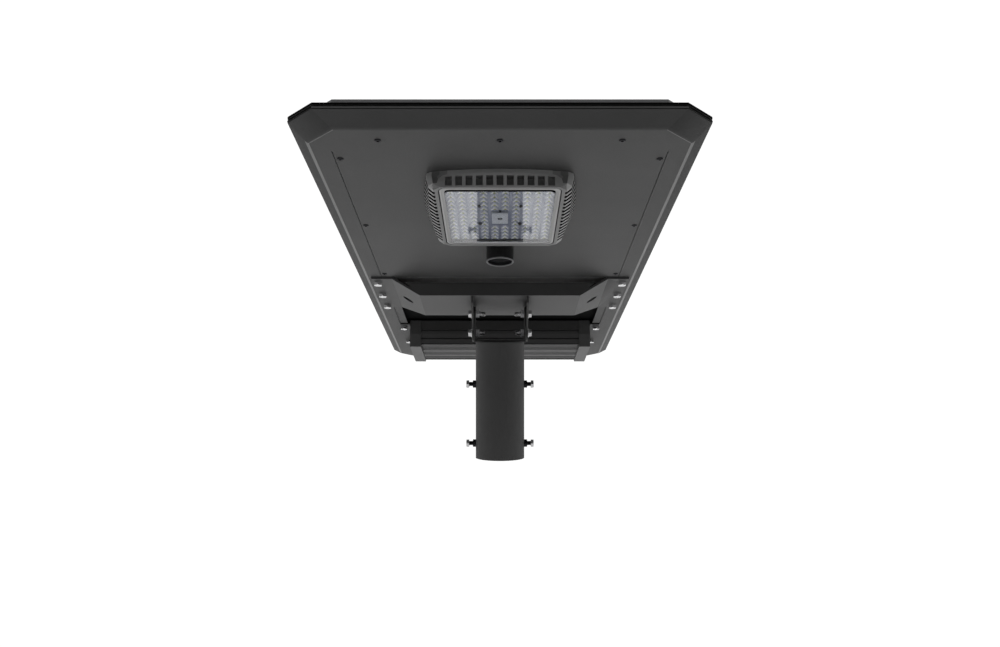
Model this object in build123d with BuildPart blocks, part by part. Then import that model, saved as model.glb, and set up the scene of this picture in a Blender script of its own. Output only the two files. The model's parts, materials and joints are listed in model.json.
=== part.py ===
from build123d import *
import os
from math import sin, cos, tan, radians, atan2

# Solar street lamp: a pole sleeve carries a yoke, and the whole lamp head tilts on the yoke.
# Origin: centre of the sleeve's lower mouth. +Z runs up the pole, -Y is the lit front end.
# All sizes are in millimetres.

# ---------------------------------------------------------------- driving dimensions
TILT = 15.0                 # slope of the head at rest, front end up
PIVOT_Z = 264.2             # height of the tilt axis above the sleeve's mouth
DATUM_Z = 262.0             # height of the head's own origin

SLEEVE_OD, SLEEVE_ID, SLEEVE_LEN = 89.0, 82.0, 212.6
CLAMP_HEIGHTS = (26.7, 135.3)
CLAMP_THREAD_R = 4.0        # M8 clamp screws
CLAMP_HEAD_AF, CLAMP_HEAD_H = 13.0, 5.3
CLAMP_HEAD_X = 56.5         # underside of the screw head

YOKE_T = 3.0
EAR_X = 44.5                # inner face of each yoke ear
EAR_R = 13.5
PLATE_X = 48.0              # inner face of each tilt plate
PLATE_T = 3.0
BOLT_R = 4.0                # M8 pivot and lock bolts
FIT = 0.05                  # radial clearance round a bolt that something turns on
LOCK_ARM = 34.8             # lock bolt's distance below the pivot
TILT_TRAVEL = 15.0          # how far the head tilts each way from rest

# The head is described in its own plane: local y runs to the rear, local z up to the panel.
BEAM_Z = 16.8               # underside of the cross beam
FLAT_Z = 51.4               # underside of the housing
SHEET = 2.0
FLANGE_Z, FLANGE_T = 67.8, 3.0
TRAY_Z, TRAY_T = 72.3, 3.5
FRAME_Z, PANEL_TOP = 75.8, 87.0
CEILING_Z = 66.0            # roof of the open bay behind the cover

FLAT = dict(half=237.0, front=-641.5, rear=564.5, leg=37.0, rear_leg=37.0)
RIM = dict(half=257.7, front=-662.5, rear=587.5, leg=36.0, rear_leg=27.5)
PANEL = dict(half=245.0, front=-649.5, rear=574.5, leg=44.0, rear_leg=36.0)

COVER_HALF, COVER_REAR = 210.2, -69.5
BAY_HALF = 211.0            # inner edge of the side rails beside the cover and the bay
BAY_REAR = 259.0            # where the rear tray starts
LEDGE_X, LEDGE_REAR = 195.5, 254.0      # inner edge and rear end of the ledge along the opening

BEAM_HALF, BEAM_OUT = 142.0, 192.5
BEAM_T = 4.0
BEAM_FRONT, BEAM_REAR, WING_REAR = -69.7, 61.8, 112.0
BEAM_END = 230.0
BEAM_BOLT_X, BEAM_BOLT_YS = 219.3, (-51.5, 20.5, 96.0)

MODULE_Z = 27.8             # lowest face of the LED module
MODULE_FRONT, MODULE_REAR = -525.0, -298.0
SLOT_PITCH = 12.9
RECESS_PITCH = 13.5
LENS_PITCH_X, LENS_PITCH_Y = 14.9, 14.4
LENS_COLUMNS, LENS_ROWS = 10, 13
WINDOW_HALF, WINDOW_FRONT, WINDOW_REAR = 74.0, -507.0, -311.5

SENSOR_Y, SENSOR_R, SENSOR_Z = -244.0, 21.7, 19.5

BATTERY_FRONT, BATTERY_REAR = 265.0, 407.0
BATTERY_Z, BATTERY_HALF = 6.8, 167.6
CAP_Z, CAP_HALF, CAP_REAR = 4.9, 191.0, 414.5
BATTERY_OPENING = 192.0     # half width of the housing opening the battery box fills
BATTERY_BOLT_X, BATTERY_BOLT_YS = 205.0, (275.0, 393.0)

HEAD = Plane(origin=(0, 0, DATUM_Z), x_dir=(1, 0, 0), z_dir=(0, sin(radians(TILT)), cos(radians(TILT))))
os.makedirs("parts", exist_ok=True)


# ---------------------------------------------------------------- helpers
def save(builder, label):
    """Label a finished sub-part and write its STEP file."""
    builder.part.label = label
    export_step(builder.part, f"parts/{label}.step")


def head_side(x):
    """Plane across the head at local x: sketch x is the head's y, sketch y is its z."""
    return Plane(origin=HEAD.from_local_coords((x, 0, 0)), x_dir=HEAD.y_dir, z_dir=HEAD.x_dir)


def head_front(y):
    """Plane facing forward at local y: sketch x is the head's x, sketch y is its z."""
    return Plane(origin=HEAD.from_local_coords((0, y, 0)), x_dir=HEAD.x_dir, z_dir=HEAD.y_dir * -1)


def octagon(half, front, rear, leg, rear_leg, inset=0.0):
    """Corner points of a rectangle with 45 degree corners, moved inward by inset."""
    half, front, rear = half - inset, front + inset, rear - inset
    leg -= inset * (2 - 2 ** 0.5)
    rear_leg -= inset * (2 - 2 ** 0.5)
    return [(-half, front + leg), (-half + leg, front), (half - leg, front), (half, front + leg),
            (half, rear - rear_leg), (half - rear_leg, rear),
            (rear_leg - half, rear), (-half, rear - rear_leg)]


def outline(size, inset=0.0, mode=Mode.ADD):
    """Octagon outline as a face in the current sketch."""
    Polygon(*octagon(**size, inset=inset), align=None, mode=mode)


def box_between(low, high, mode=Mode.ADD):
    """Box between two opposite corners, in the current part's own plane."""
    centre = tuple((a + b) / 2 for a, b in zip(low, high))
    with Locations(centre):
        Box(*[b - a for a, b in zip(low, high)], mode=mode)


def hex_points(af):
    """Radius of the circle through a hexagon's corners, from its size across flats."""
    return af / 2 / cos(radians(30))


# ---------------------------------------------------------------- pole sleeve and its clamp screws
with BuildPart() as sleeve_tube:
    with BuildSketch() as ring:
        Circle(SLEEVE_OD / 2)
        Circle(SLEEVE_ID / 2, mode=Mode.SUBTRACT)
    extrude(amount=SLEEVE_LEN)
    for height in CLAMP_HEIGHTS:
        with BuildSketch(Plane.YZ.offset(-SLEEVE_OD / 2 - 1)) as tapped:
            with Locations((0, height)):
                Circle(CLAMP_THREAD_R + FIT)
        extrude(amount=SLEEVE_OD + 2, mode=Mode.SUBTRACT)
save(sleeve_tube, "sleeve_tube")

NUT_X = SLEEVE_OD / 2 - 0.4
with BuildPart() as clamp_nuts:
    for side in (-1, 1):
        for height in CLAMP_HEIGHTS:
            face = Plane(origin=(side * NUT_X, 0, height), x_dir=(0, 1, 0), z_dir=(side, 0, 0))
            with BuildSketch(face) as nut:
                RegularPolygon(hex_points(13.0), 6)
                Circle(CLAMP_THREAD_R + FIT, mode=Mode.SUBTRACT)
            extrude(amount=5.8)
    with BuildSketch() as tube_bore:
        Circle(SLEEVE_OD / 2)
    extrude(amount=SLEEVE_LEN, mode=Mode.SUBTRACT)
save(clamp_nuts, "clamp_nuts")

screw_number = 0
for height in CLAMP_HEIGHTS:
    for side in (-1, 1):
        screw_number += 1
        head_face = Plane(origin=(side * CLAMP_HEAD_X, 0, height), x_dir=(0, 1, 0), z_dir=(side, 0, 0))
        tip_x = (SLEEVE_ID / 2) + 0.3
        tip_face = Plane(origin=(side * tip_x, 0, height), x_dir=(0, 1, 0), z_dir=(side, 0, 0))
        with BuildPart() as clamp_screw:
            with BuildSketch(tip_face) as shank:
                Circle(CLAMP_THREAD_R)
            extrude(amount=CLAMP_HEAD_X - tip_x)
            with BuildSketch(head_face) as hexagon:
                RegularPolygon(hex_points(CLAMP_HEAD_AF), 6)
            extrude(amount=CLAMP_HEAD_H)
            outer_face = clamp_screw.faces().sort_by(Axis.X)[-1 if side > 0 else 0]
            chamfer(outer_face.edges(), 0.6)
            tip_edge = clamp_screw.edges().filter_by(GeomType.CIRCLE).sort_by(Axis.X)[0 if side > 0 else -1]
            chamfer(tip_edge, 0.8)
        save(clamp_screw, f"clamp_screw_{screw_number}")

# ---------------------------------------------------------------- yoke on top of the sleeve
YOKE_BASE_Z = SLEEVE_LEN
EAR_HALF_BASE = 27.0
with BuildPart() as yoke_bracket:
    with Locations((0, 0, YOKE_BASE_Z)):
        Box(2 * (EAR_X + YOKE_T), 2 * EAR_HALF_BASE, YOKE_T, align=(Align.CENTER, Align.CENTER, Align.MIN))
    for side in (-1, 1):
        start = EAR_X if side > 0 else -EAR_X - YOKE_T
        with BuildSketch(Plane.YZ.offset(start)) as ear:
            with BuildLine() as edge:
                top_left = (-EAR_R, PIVOT_Z)
                top_right = (EAR_R, PIVOT_Z)
                base_z = YOKE_BASE_Z + YOKE_T
                Polyline(top_left, (-EAR_HALF_BASE, base_z + 8), (-EAR_HALF_BASE, base_z),
                         (EAR_HALF_BASE, base_z), (EAR_HALF_BASE, base_z + 8), top_right)
                ThreePointArc(top_right, (0, PIVOT_Z + EAR_R), top_left)
            make_face()
            with Locations((0, PIVOT_Z), (0, PIVOT_Z - LOCK_ARM)):
                Circle(BOLT_R + FIT, mode=Mode.SUBTRACT)
        extrude(amount=YOKE_T)
    outer_bends = yoke_bracket.edges().filter_by(Axis.Y).filter_by(
        lambda e: abs(e.center().Z - YOKE_BASE_Z) < 0.1)
    fillet(outer_bends, 2.0)
save(yoke_bracket, "yoke_bracket")


def side_bolts(label, height):
    """One M8 bolt per side through tilt plate and ear, with its head outside the plate."""
    with BuildPart() as bolts:
        for side in (-1, 1):
            outer = PLATE_X + PLATE_T + 0.2 + 1.6 + 0.05
            base = Plane(origin=(side * 27.0, 0, height), x_dir=(0, 1, 0), z_dir=(side, 0, 0))
            head_base = Plane(origin=(side * outer, 0, height), x_dir=(0, 1, 0), z_dir=(side, 0, 0))
            with BuildSketch(base) as shank:
                Circle(BOLT_R)
            extrude(amount=outer - 27.0)
            with BuildSketch(head_base) as hexagon:
                RegularPolygon(hex_points(13.0), 6)
            extrude(amount=5.3)
        for side in (-1, 1):
            cap = bolts.faces().sort_by(Axis.X)[-1 if side > 0 else 0]
            chamfer(cap.edges(), 0.6)
    save(bolts, label)


side_bolts("pivot_bolts", PIVOT_Z)
side_bolts("lock_bolts", PIVOT_Z - LOCK_ARM)

with BuildPart() as yoke_washers:
    for side in (-1, 1):
        for height in (PIVOT_Z, PIVOT_Z - LOCK_ARM):
            start = Plane(origin=(side * (PLATE_X + PLATE_T + 0.2), 0, height), x_dir=(0, 1, 0),
                          z_dir=(side, 0, 0))
            with BuildSketch(start) as washer:
                Circle(8.0)
                Circle(BOLT_R + FIT, mode=Mode.SUBTRACT)
            extrude(amount=1.6)
save(yoke_washers, "yoke_washers")

with BuildPart() as yoke_nuts:
    for side in (-1, 1):
        for height in (PIVOT_Z, PIVOT_Z - LOCK_ARM):
            start = Plane(origin=(side * (EAR_X - 6.5), 0, height), x_dir=(0, 1, 0), z_dir=(side, 0, 0))
            with BuildSketch(start) as nut:
                RegularPolygon(hex_points(13.0), 6)
                Circle(BOLT_R + FIT, mode=Mode.SUBTRACT)
            extrude(amount=6.5)
save(yoke_nuts, "yoke_nuts")

# ---------------------------------------------------------------- tilt plates and cross beam
PLATE_FRONT, PLATE_REAR = -66.0, 58.0
PLATE_END_R = 16.0
lift = PIVOT_Z - DATUM_Z
pivot_y, pivot_z = -lift * sin(radians(TILT)), lift * cos(radians(TILT))    # in the head's own plane
lock_y = pivot_y + LOCK_ARM * sin(radians(TILT))
lock_z = pivot_z - LOCK_ARM * cos(radians(TILT))
slot_start = -90 + TILT - TILT_TRAVEL       # degrees, where the lock bolt's slot starts

for name, start in (("tilt_plate_left", -PLATE_X - PLATE_T), ("tilt_plate_right", PLATE_X)):
    with BuildPart() as tilt_plate:
        with BuildSketch(head_side(start)) as blade:
            with BuildLine() as edge:
                Polyline((-PLATE_END_R + lock_y, lock_z), (PLATE_FRONT, BEAM_Z - 12), (PLATE_FRONT, BEAM_Z),
                         (PLATE_REAR, BEAM_Z), (PLATE_REAR, BEAM_Z - 12), (PLATE_END_R + lock_y, lock_z))
                ThreePointArc((PLATE_END_R + lock_y, lock_z), (lock_y, lock_z - PLATE_END_R),
                              (-PLATE_END_R + lock_y, lock_z))
            make_face()
            with Locations((pivot_y, pivot_z)):
                Circle(BOLT_R + FIT, mode=Mode.SUBTRACT)
            with BuildLine() as slot_path:
                CenterArc((pivot_y, pivot_z), LOCK_ARM, slot_start, 2 * TILT_TRAVEL)
            SlotArc(slot_path.edge(), 2 * BOLT_R + 1.0, mode=Mode.SUBTRACT)
        extrude(amount=PLATE_T)
    save(tilt_plate, name)

slope = atan2(FLAT_Z - BEAM_T - BEAM_Z, BEAM_OUT - BEAM_HALF)
with BuildPart() as cross_beam:
    with BuildSketch(head_front(BEAM_FRONT)) as section:
        low = [(-BEAM_END, FLAT_Z - BEAM_T), (-BEAM_OUT, FLAT_Z - BEAM_T), (-BEAM_HALF, BEAM_Z),
               (BEAM_HALF, BEAM_Z), (BEAM_OUT, FLAT_Z - BEAM_T), (BEAM_END, FLAT_Z - BEAM_T)]
        shift = BEAM_T * tan(slope / 2)
        high = [(BEAM_END, FLAT_Z), (BEAM_OUT - shift, FLAT_Z), (BEAM_HALF - shift, BEAM_Z + BEAM_T),
                (-BEAM_HALF + shift, BEAM_Z + BEAM_T), (-BEAM_OUT + shift, FLAT_Z), (-BEAM_END, FLAT_Z)]
        Polygon(*low, *high, align=None)
    extrude(amount=-(WING_REAR - BEAM_FRONT))
    with BuildSketch(HEAD) as trim:
        Polygon((-BEAM_OUT, WING_REAR + 1), (-BEAM_OUT, WING_REAR), (-BEAM_HALF, BEAM_REAR),
                (BEAM_HALF, BEAM_REAR), (BEAM_OUT, WING_REAR), (BEAM_OUT, WING_REAR + 1), align=None)
    extrude(amount=80, mode=Mode.SUBTRACT)
    with BuildSketch(head_front(BEAM_FRONT)) as web:
        Polygon((-BEAM_HALF + 1, BEAM_Z + 1), (BEAM_HALF - 1, BEAM_Z + 1), (169, 41.0), (-169, 41.0),
                align=None)
        Polygon((-BEAM_HALF + 1, BEAM_Z), (-BEAM_HALF + 1, BEAM_Z + 1.1), (BEAM_HALF - 1, BEAM_Z + 1.1),
                (BEAM_HALF - 1, BEAM_Z), align=None)
    extrude(amount=-3.0)
    with BuildSketch(HEAD) as outlets:
        with Locations((-171, 16), (171, 16)):
            Circle(9.5)
        with GridLocations(2 * BEAM_BOLT_X, 1, 2, 1):
            for y in BEAM_BOLT_YS:
                with Locations((0, y)):
                    Circle(BOLT_R + FIT)
    extrude(amount=80, mode=Mode.SUBTRACT)
save(cross_beam, "cross_beam")


HEX_HEIGHT = 6.9            # flange bolt heads


def head_bolts(label, x, ys, head_top, grip):
    """M8 hexagon bolts up through a flange into the housing, heads below."""
    with BuildPart() as bolts:
        for y in ys:
            for side in (-1, 1):
                with BuildSketch(HEAD.offset(head_top - HEX_HEIGHT)) as hexagon:
                    with Locations((side * x, y)):
                        RegularPolygon(hex_points(13.0), 6)
                extrude(amount=HEX_HEIGHT)
                with BuildSketch(HEAD.offset(head_top)) as shank:
                    with Locations((side * x, y)):
                        Circle(BOLT_R)
                extrude(amount=grip)
    save(bolts, label)


def head_nuts(label, x, ys, base):
    """Hexagon nuts inside the housing."""
    with BuildPart() as nuts:
        for y in ys:
            for side in (-1, 1):
                with BuildSketch(HEAD.offset(base)) as nut:
                    with Locations((side * x, y)):
                        RegularPolygon(hex_points(13.0), 6)
                        Circle(BOLT_R + FIT, mode=Mode.SUBTRACT)
                extrude(amount=6.5)
    save(nuts, label)


BEAM_GRIP = BEAM_T + SHEET + 8.0
head_bolts("beam_bolts", BEAM_BOLT_X, BEAM_BOLT_YS, FLAT_Z - BEAM_T, BEAM_GRIP)
head_nuts("beam_nuts", BEAM_BOLT_X, BEAM_BOLT_YS, FLAT_Z + SHEET)

# ---------------------------------------------------------------- sheet housing
with BuildPart() as housing:
    with BuildSketch(HEAD.offset(FLAT_Z)) as lower:
        outline(FLAT)
    with BuildSketch(HEAD.offset(FLANGE_Z)) as upper:
        outline(RIM)
    loft()
    with BuildSketch(HEAD.offset(FLANGE_Z)) as flange:
        outline(RIM)
    extrude(amount=FLANGE_T)
    with BuildSketch(HEAD.offset(FLAT_Z + SHEET)) as inner_low:
        outline(FLAT, inset=0.7)
    with BuildSketch(HEAD.offset(FLANGE_Z)) as inner_high:
        outline(RIM, inset=3.2)
    loft(mode=Mode.SUBTRACT)
    with BuildSketch(HEAD.offset(FLANGE_Z)) as flange_inside:
        outline(RIM, inset=16.0)
    extrude(amount=FLANGE_T + 1, mode=Mode.SUBTRACT)
    with BuildSketch(HEAD.offset(FLAT_Z - 1)) as opening:
        front_edge = FLAT["front"] + 5.0
        Polygon((-BAY_HALF + 18, front_edge), (BAY_HALF - 18, front_edge), (BAY_HALF, front_edge + 18),
                (BAY_HALF, BAY_REAR), (BATTERY_OPENING, BAY_REAR), (BATTERY_OPENING, CAP_REAR + 1),
                (-BATTERY_OPENING, CAP_REAR + 1), (-BATTERY_OPENING, BAY_REAR), (-BAY_HALF, BAY_REAR),
                (-BAY_HALF, front_edge + 18), align=None)
    extrude(amount=SHEET + 1.5, mode=Mode.SUBTRACT)
    with BuildSketch(HEAD.offset(FLAT_Z - 1)) as bolt_holes:
        for side in (-1, 1):
            for y in BEAM_BOLT_YS:
                with Locations((side * BEAM_BOLT_X, y)):
                    Circle(BOLT_R + FIT)
            for y in BATTERY_BOLT_YS:
                with Locations((side * BATTERY_BOLT_X, y)):
                    Circle(BOLT_R + FIT)
    extrude(amount=SHEET + 2, mode=Mode.SUBTRACT)

SPLIT_FRONT, SPLIT_REAR, SPLIT_X = FLAT["front"] + 5.0, BAY_REAR, BAY_HALF
FAR = 700.0
housing_regions = {
    "housing_front": [(-SPLIT_X, -FAR), (SPLIT_X, SPLIT_FRONT + 18)],
    "housing_rear": [(-SPLIT_X, SPLIT_REAR), (SPLIT_X, FAR)],
    "side_rail_left": [(-300, -FAR), (-SPLIT_X, FAR)],
    "side_rail_right": [(SPLIT_X, -FAR), (300, FAR)],
}
for name, (low, high) in housing_regions.items():
    with BuildPart() as region:
        add(housing.part)
        with BuildSketch(HEAD) as footprint:
            Polygon(low, (high[0], low[1]), high, (low[0], high[1]), align=None)
        extrude(amount=200, mode=Mode.INTERSECT)
    save(region, name)

with BuildPart() as cover_plate:
    with BuildSketch(HEAD.offset(FLAT_Z)) as plate:
        cover_front = SPLIT_FRONT + 0.3
        Polygon((-COVER_HALF + 18, cover_front), (COVER_HALF - 18, cover_front),
                (COVER_HALF, cover_front + 18), (COVER_HALF, COVER_REAR), (-COVER_HALF, COVER_REAR),
                (-COVER_HALF, cover_front + 18), align=None)
    extrude(amount=SHEET)
    with BuildSketch(HEAD.offset(FLAT_Z - 1)) as passages:
        with Locations((0, -411)):
            Rectangle(60, 40)
        with Locations((0, SENSOR_Y)):
            Circle(8.0)
    extrude(amount=SHEET + 2, mode=Mode.SUBTRACT)
save(cover_plate, "cover_plate")

COVER_SCREWS = [(0, -612.5), (-149.3, -612.5), (149.3, -612.5)]
COVER_SCREWS += [(side * 203.7, y) for side in (-1, 1) for y in (-560.0, -324.5, -87.6)]
with BuildPart() as cover_screws:
    with BuildSketch(HEAD.offset(FLAT_Z - 1.6)) as screw_heads:
        with Locations(*COVER_SCREWS):
            Circle(4.2)
    extrude(amount=1.6)
    chamfer(cover_screws.faces().sort_by(Axis(HEAD.origin, HEAD.z_dir))[0:len(COVER_SCREWS)].edges(), 0.5)
save(cover_screws, "cover_screws")

with BuildPart(HEAD) as cover_frame:
    for side in (-1, 1):
        low_x, high_x = sorted((side * LEDGE_X, side * (BAY_HALF + 12)))
        box_between((low_x, SPLIT_FRONT + 24, FLAT_Z + SHEET), (high_x, LEDGE_REAR, FLAT_Z + SHEET + 1.5))
    box_between((1 - LEDGE_X, SPLIT_FRONT + 1, FLAT_Z + SHEET),
                (LEDGE_X - 1, SPLIT_FRONT + 22, FLAT_Z + SHEET + 1.5))
    with BuildSketch(HEAD.offset(FLAT_Z)) as nut_holes:
        for y in BEAM_BOLT_YS:
            with Locations((-BEAM_BOLT_X, y), (BEAM_BOLT_X, y)):
                Circle(8.2)
    extrude(amount=10, mode=Mode.SUBTRACT)
save(cover_frame, "cover_frame")

BULKHEAD_Y = -25.0          # wall between the bay and the sealed front of the housing
with BuildPart(HEAD) as bay_roof:
    box_between((-BAY_HALF - 18, BULKHEAD_Y - SHEET, CEILING_Z),
                (BAY_HALF + 18, CAP_REAR + 12, CEILING_Z + SHEET))
save(bay_roof, "bay_roof")

with BuildPart(HEAD) as bay_bulkhead:
    box_between((1 - LEDGE_X, COVER_REAR - 3.5, FLAT_Z + SHEET),
                (LEDGE_X - 1, BULKHEAD_Y, FLAT_Z + 2 * SHEET))
    box_between((1 - LEDGE_X, BULKHEAD_Y - SHEET, FLAT_Z + SHEET), (LEDGE_X - 1, BULKHEAD_Y, CEILING_Z))
save(bay_bulkhead, "bay_bulkhead")

# ---------------------------------------------------------------- panel tray and solar panel


def ring_bars(label, size, width, base, height, joint_y):
    """Octagon ring of four bars with narrow joints between the long sides and the ends."""
    with BuildPart(HEAD) as bars:
        with BuildSketch(HEAD.offset(base)) as ring:
            outline(size)
            outline(size, inset=width, mode=Mode.SUBTRACT)
        extrude(amount=height)
        for y in (size["front"] + joint_y, size["rear"] - joint_y):
            box_between((-300, y - 0.1, base - 1), (300, y + 0.1, base + height + 1), mode=Mode.SUBTRACT)
    save(bars, label)


RIM_GASKET = dict(half=RIM["half"] - 2.5, front=RIM["front"] + 2.5, rear=RIM["rear"] - 2.5,
                  leg=RIM["leg"] - 1.5, rear_leg=RIM["rear_leg"] - 1.5)
ring_bars("rim_gasket", RIM_GASKET, 10.0, FLANGE_Z + FLANGE_T, TRAY_Z - FLANGE_Z - FLANGE_T, 60.0)
ring_bars("panel_tray", RIM, 28.0, TRAY_Z, TRAY_T, 60.0)
ring_bars("solar_frame", PANEL, 12.0, FRAME_Z, PANEL_TOP - FRAME_Z, 60.0)

LAMINATE_INSET = 12.2
with BuildPart() as solar_backsheet:
    with BuildSketch(HEAD.offset(80.0)) as sheet:
        outline(PANEL, inset=LAMINATE_INSET)
    extrude(amount=0.6)
save(solar_backsheet, "solar_backsheet")

CELL_ROWS, CELL_COLUMNS = 12, 3
CELL_X, CELL_Y, CELL_CUT = 152.0, 97.0, 8.0
with BuildPart() as solar_cells:
    with BuildSketch(HEAD.offset(80.7)) as wafers:
        centre_y = (PANEL["front"] + PANEL["rear"]) / 2
        with Locations((0, centre_y)):
            with GridLocations(CELL_X + 2, CELL_Y + 2, CELL_COLUMNS, CELL_ROWS):
                Rectangle(CELL_X, CELL_Y)
        outline(dict(PANEL, leg=PANEL["leg"] + 6, rear_leg=PANEL["rear_leg"] + 6), inset=LAMINATE_INSET + 2,
                mode=Mode.INTERSECT)
    extrude(amount=0.2)
save(solar_cells, "solar_cells")

with BuildPart() as solar_glass:
    with BuildSketch(HEAD.offset(81.6)) as pane:
        outline(PANEL, inset=LAMINATE_INSET)
    extrude(amount=3.2)
save(solar_glass, "solar_glass")

with BuildPart(HEAD) as junction_box:
    box_between((-55, 330, 69.0), (55, 400, 79.8))
    fillet(junction_box.edges().filter_by(Axis(HEAD.origin, HEAD.z_dir)), 5)
save(junction_box, "junction_box")

with BuildPart(HEAD) as charge_controller:
    box_between((-70, -190, 54.2), (70, -100, 76.0))
    fillet(charge_controller.edges().filter_by(Axis(HEAD.origin, HEAD.z_dir)), 4)
save(charge_controller, "charge_controller")

# ---------------------------------------------------------------- LED module
module_centre_y = (MODULE_FRONT + MODULE_REAR) / 2
GASKET_HALF, GASKET_FRONT, GASKET_REAR, GASKET_W = 82.0, -521.3, -303.3, 1.5
BEZEL_T = 2.2               # thickness of the bezel and depth of its seat


def rounded_window(half, front, rear, radius, mode=Mode.ADD):
    """Rounded rectangle on the module's centre line, in the current sketch."""
    with Locations((0, (front + rear) / 2)):
        RectangleRounded(2 * half, rear - front, radius, mode=mode)


SLOT_YS = [module_centre_y - 2.5 + SLOT_PITCH * (i - 7) for i in range(15)]
RECESS_BACK, RECESS_TOP = MODULE_FRONT + 7.0, 42.8
RECESS_XS = [RECESS_PITCH * (i - 5) for i in range(11)]
with BuildPart(HEAD) as led_heatsink:
    # barrel-sided body with a shallow arched front; its cut corners grow sharper towards the cover
    for level, middle, corner, cut_x, front, cut_y, tail, rear in (
            (MODULE_Z, 89.5, 88.0, 79.0,
             MODULE_FRONT + 1.5, MODULE_FRONT + 11.0, 85.5, MODULE_REAR),
            (MODULE_Z + 6.0, 98.5, 94.5, 88.0,
             MODULE_FRONT + 1.5, MODULE_FRONT + 11.0, 93.5, MODULE_REAR + 1.5),
            (FLAT_Z - 5.0, 106.0, 97.0, 90.0,
             MODULE_FRONT + 4.5, MODULE_FRONT + 10.0, 96.5, MODULE_REAR + 4.0)):
        with BuildSketch(HEAD.offset(level)) as body:
            with BuildLine() as edge:
                ThreePointArc((-cut_x, front), (0, MODULE_FRONT - (level - MODULE_Z) / 4), (cut_x, front))
                Line((cut_x, front), (corner, cut_y))
                ThreePointArc((corner, cut_y), (middle, module_centre_y - 6), (tail, rear - 8))
                Line((tail, rear - 8), (tail - 11, rear))
                Line((tail - 11, rear), (11 - tail, rear))
                Line((11 - tail, rear), (-tail, rear - 8))
                ThreePointArc((-tail, rear - 8), (-middle, module_centre_y - 6), (-corner, cut_y))
                Line((-corner, cut_y), (-cut_x, front))
            make_face()
    loft(ruled=True)
    base_face = led_heatsink.faces().sort_by(Axis(HEAD.origin, HEAD.z_dir))[-1]
    extrude(base_face, amount=5.0)
    with BuildSketch(HEAD.offset(MODULE_Z)) as seat:
        rounded_window(GASKET_HALF, GASKET_FRONT, GASKET_REAR, 12)
    extrude(amount=BEZEL_T, mode=Mode.SUBTRACT)
    with BuildSketch(HEAD.offset(MODULE_Z)) as cavity:
        rounded_window(WINDOW_HALF + 2.5, WINDOW_FRONT - 2.5, WINDOW_REAR + 2.5, 8.5)
    extrude(amount=14.0, mode=Mode.SUBTRACT)
    for y in SLOT_YS:
        for side in (-1, 1):
            low_x, high_x = sorted((side * 86.5, side * 110))
            box_between((low_x, y - 3.5, MODULE_Z - 1), (high_x, y + 3.5, FLAT_Z - 1), mode=Mode.SUBTRACT)
    for x in RECESS_XS:
        box_between((x - 4.5, MODULE_FRONT - 8, MODULE_Z + 2.5), (x + 4.5, RECESS_BACK, RECESS_TOP),
                    mode=Mode.SUBTRACT)
save(led_heatsink, "led_heatsink")

with BuildPart() as module_gasket:
    with BuildSketch(HEAD.offset(MODULE_Z + 0.2)) as ring:
        rounded_window(GASKET_HALF, GASKET_FRONT, GASKET_REAR, 12)
        rounded_window(GASKET_HALF - GASKET_W, GASKET_FRONT + GASKET_W, GASKET_REAR - GASKET_W, 12 - GASKET_W,
                       mode=Mode.SUBTRACT)
    extrude(amount=BEZEL_T - 0.2)
save(module_gasket, "module_gasket")

with BuildPart() as led_bezel:
    with BuildSketch(HEAD.offset(MODULE_Z)) as frame:
        rounded_window(GASKET_HALF - GASKET_W, GASKET_FRONT + GASKET_W, GASKET_REAR - GASKET_W, 12 - GASKET_W)
        rounded_window(WINDOW_HALF, WINDOW_FRONT, WINDOW_REAR, 7, mode=Mode.SUBTRACT)
    extrude(amount=BEZEL_T)
save(led_bezel, "led_bezel")

with BuildPart() as led_glass:
    with BuildSketch(HEAD.offset(MODULE_Z + 1.0)) as pane:
        rounded_window(WINDOW_HALF - 0.2, WINDOW_FRONT + 0.2, WINDOW_REAR - 0.2, 6.8)
    extrude(amount=3.0)
save(led_glass, "led_glass")

MODULE_SCREWS = [(x, y) for x in (-28.9, 28.9) for y in (-447, -380)]
LENS_XS = [LENS_PITCH_X * (i - (LENS_COLUMNS - 1) / 2) for i in range(LENS_COLUMNS)]
LENS_YS = [module_centre_y + 2.5 + LENS_PITCH_Y * (j - (LENS_ROWS - 1) / 2) for j in range(LENS_ROWS)]
with BuildPart() as lens_plate:
    with BuildSketch(HEAD.offset(MODULE_Z + 8.0)) as optic:
        rounded_window(WINDOW_HALF + 2, WINDOW_FRONT - 2, WINDOW_REAR + 2, 8)
    extrude(amount=1.6)
    with BuildSketch(HEAD.offset(MODULE_Z + 4.6)) as lenses:
        with Locations(*[(x, y) for x in LENS_XS for y in LENS_YS if abs(x) > 16 or abs(y + 406) > 26]):
            Ellipse(6.2, 5.2)
    extrude(amount=3.5, taper=-8)
    with BuildSketch(HEAD.offset(MODULE_Z + 4.0)) as screw_holes:
        with Locations(*MODULE_SCREWS):
            Circle(3.0)
    extrude(amount=6.0, mode=Mode.SUBTRACT)
save(lens_plate, "lens_plate")

with BuildPart() as led_board:
    with BuildSketch(HEAD.offset(MODULE_Z + 11.5)) as board:
        rounded_window(WINDOW_HALF + 2, WINDOW_FRONT - 2, WINDOW_REAR + 2, 8)
    extrude(amount=1.6)
save(led_board, "led_board")

with BuildPart() as led_chips:
    with BuildSketch(HEAD.offset(MODULE_Z + 10.3)) as chips:
        with Locations(*[(x, y) for x in LENS_XS for y in LENS_YS]):
            Rectangle(3.0, 3.0)
    extrude(amount=1.2)
save(led_chips, "led_chips")

with BuildPart() as optic_clip:
    with BuildSketch(HEAD.offset(MODULE_Z + 4.4)) as clip:
        with Locations((0, -406)):
            RectangleRounded(23, 40, 2)
    extrude(amount=3.6)
save(optic_clip, "optic_clip")

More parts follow.
